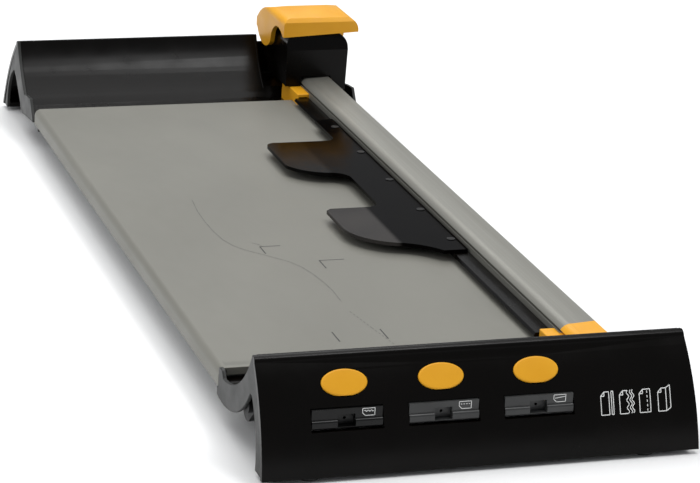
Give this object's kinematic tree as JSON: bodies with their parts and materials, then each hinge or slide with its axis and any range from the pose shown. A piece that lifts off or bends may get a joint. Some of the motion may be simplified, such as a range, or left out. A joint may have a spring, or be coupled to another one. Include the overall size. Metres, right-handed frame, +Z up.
{
  "type": "rotary paper trimmer",
  "caption": "Rotary paper trimmer: grey board between black end caps, rail with sliding yellow-handled cutting head, clamp with smoked press plate and push-button stored blades.",
  "frame": {"origin": "middle of the footprint, on the surface that the rubber feet stand on", "axes": "+X to the right along the end caps (rail side), +Y from the front cap to the rear cap, +Z up"},
  "size_m": [0.2187, 0.6454, 0.0832],
  "materials": {
    "black_plastic": "injection moulded, glossy",
    "grey_plastic": "injection moulded, satin",
    "yellow_plastic": "injection moulded, satin gloss",
    "smoked_plastic": "smoked transparent sheet",
    "board_paint": "grey powder coat with printed format marks",
    "zinc_steel": "zinc plated",
    "anodised_aluminium": "satin anodised extrusion",
    "rubber": "moulded",
    "mat_plastic": "soft cutting strip",
    "nylon": "self-lubricating",
    "cartridge_plastic": "injection moulded, satin",
    "steel": "ground and polished"
  },
  "bodies": {
    "base": {"base_board": "board_paint", "beam_screws": "steel", "bracket_screws": "steel", "cartridge_dock": "black_plastic", "clamp_guide_pins": "steel", "clamp_spring_front": "steel", "clamp_spring_rear": "steel", "cross_braces": "zinc_steel", "cutting_beam": "anodised_aluminium", "cutting_mat": "mat_plastic", "front_end_left": "grey_plastic", "front_end_right": "grey_plastic", "front_fascia": "black_plastic", "front_tray": "black_plastic", "guide_rail": "anodised_aluminium", "left_stiffener": "zinc_steel", "parking_pocket": "black_plastic", "rail_bracket_front": "yellow_plastic", "rail_bracket_rear": "yellow_plastic", "rail_bumpers": "rubber", "rail_screws": "steel", "rear_end_left": "grey_plastic", "rear_end_right": "grey_plastic", "rear_fascia": "black_plastic", "rear_tray": "black_plastic", "rubber_feet": "rubber"},
    "paper_clamp": {"clamp_strip": "black_plastic", "press_plate": "smoked_plastic", "plate_rivets": "black_plastic", "clamp_pad": "rubber"},
    "head": {"head_housing": "black_plastic", "glide_left": "nylon", "glide_right": "nylon", "glide_top": "nylon", "handle_spring_front": "steel", "handle_spring_rear": "steel"},
    "head_press": {"handle": "yellow_plastic", "press_slider": "nylon", "cutting_cartridge": "cartridge_plastic", "cutting_axle": "steel"},
    "cutting_wheel": {"cutting_blade": "steel"},
    "wave_ejector": {"wave_ejector": "nylon"},
    "wave_button": {"wave_button": "yellow_plastic"},
    "wave_cartridge": {"wave_cartridge": "cartridge_plastic", "wave_axle": "steel"},
    "wave_wheel": {"wave_wheel": "steel"},
    "perforating_ejector": {"perforating_ejector": "nylon"},
    "perforating_button": {"perforating_button": "yellow_plastic"},
    "perforating_cartridge": {"perforating_cartridge": "cartridge_plastic", "perforating_axle": "steel"},
    "perforating_wheel": {"perforating_wheel": "steel"},
    "creasing_ejector": {"creasing_ejector": "nylon"},
    "creasing_button": {"creasing_button": "yellow_plastic"},
    "creasing_cartridge": {"creasing_cartridge": "cartridge_plastic", "creasing_axle": "steel"},
    "creasing_wheel": {"creasing_wheel": "steel"}
  },
  "joints": [
    {"name": "head_slide", "type": "slide", "parent": "base", "child": "head", "axis": [0, -1, 0], "range_m": [0, 0.492]},
    {"name": "handle_press", "type": "slide", "parent": "head", "child": "head_press", "axis": [0, 0, -1], "range_m": [0, 0.003], "stiffness_N_per_m": 700, "springref_m": -0.006, "deforming": ["handle_spring_front", "handle_spring_rear"]},
    {"name": "blade_spin", "type": "hinge", "parent": "head_press", "child": "cutting_wheel", "pos_m": [0.0882, 0.25316, 0.0432], "axis": [1, 0, 0], "continuous": true},
    {"name": "clamp_press", "type": "slide", "parent": "base", "child": "paper_clamp", "axis": [0, 0, -1], "range_m": [0, 0.0019], "stiffness_N_per_m": 500, "springref_m": -0.006, "deforming": ["clamp_spring_front", "clamp_spring_rear"]},
    {"name": "wave_eject", "type": "slide", "parent": "base", "child": "wave_ejector", "axis": [0, -1, 0], "range_m": [0, 0.004], "stiffness_N_per_m": 120, "springref_m": -0.004},
    {"name": "wave_push", "type": "slide", "parent": "base", "child": "wave_button", "axis": [0, 0.8355, -0.5496], "range_m": [0, 0.0021], "stiffness_N_per_m": 60, "springref_m": -0.002},
    {"name": "wave_pull_out", "type": "slide", "parent": "wave_ejector", "child": "wave_cartridge", "axis": [0, -1, 0], "range_m": [0, 0.03]},
    {"name": "wave_spin", "type": "hinge", "parent": "wave_cartridge", "child": "wave_wheel", "pos_m": [-0.0673, -0.29644, 0.0266], "axis": [0, 0, 1], "continuous": true},
    {"name": "perforating_eject", "type": "slide", "parent": "base", "child": "perforating_ejector", "axis": [0, -1, 0], "range_m": [0, 0.004], "stiffness_N_per_m": 120, "springref_m": -0.004},
    {"name": "perforating_push", "type": "slide", "parent": "base", "child": "perforating_button", "axis": [0, 0.8355, -0.5496], "range_m": [0, 0.0021], "stiffness_N_per_m": 60, "springref_m": -0.002},
    {"name": "perforating_pull_out", "type": "slide", "parent": "perforating_ejector", "child": "perforating_cartridge", "axis": [0, -1, 0], "range_m": [0, 0.03]},
    {"name": "perforating_spin", "type": "hinge", "parent": "perforating_cartridge", "child": "perforating_wheel", "pos_m": [-0.0198, -0.29644, 0.0266], "axis": [0, 0, 1], "continuous": true},
    {"name": "creasing_eject", "type": "slide", "parent": "base", "child": "creasing_ejector", "axis": [0, -1, 0], "range_m": [0, 0.004], "stiffness_N_per_m": 120, "springref_m": -0.004},
    {"name": "creasing_push", "type": "slide", "parent": "base", "child": "creasing_button", "axis": [0, 0.8355, -0.5496], "range_m": [0, 0.0021], "stiffness_N_per_m": 60, "springref_m": -0.002},
    {"name": "creasing_pull_out", "type": "slide", "parent": "creasing_ejector", "child": "creasing_cartridge", "axis": [0, -1, 0], "range_m": [0, 0.03]},
    {"name": "creasing_spin", "type": "hinge", "parent": "creasing_cartridge", "child": "creasing_wheel", "pos_m": [0.0277, -0.29644, 0.0266], "axis": [0, 0, 1], "continuous": true}
  ],
  "couplings": [
    {"joint": "wave_push", "follows": "wave_eject", "ratio": 0.5},
    {"joint": "perforating_push", "follows": "perforating_eject", "ratio": 0.5},
    {"joint": "creasing_push", "follows": "creasing_eject", "ratio": 0.5}
  ]
}
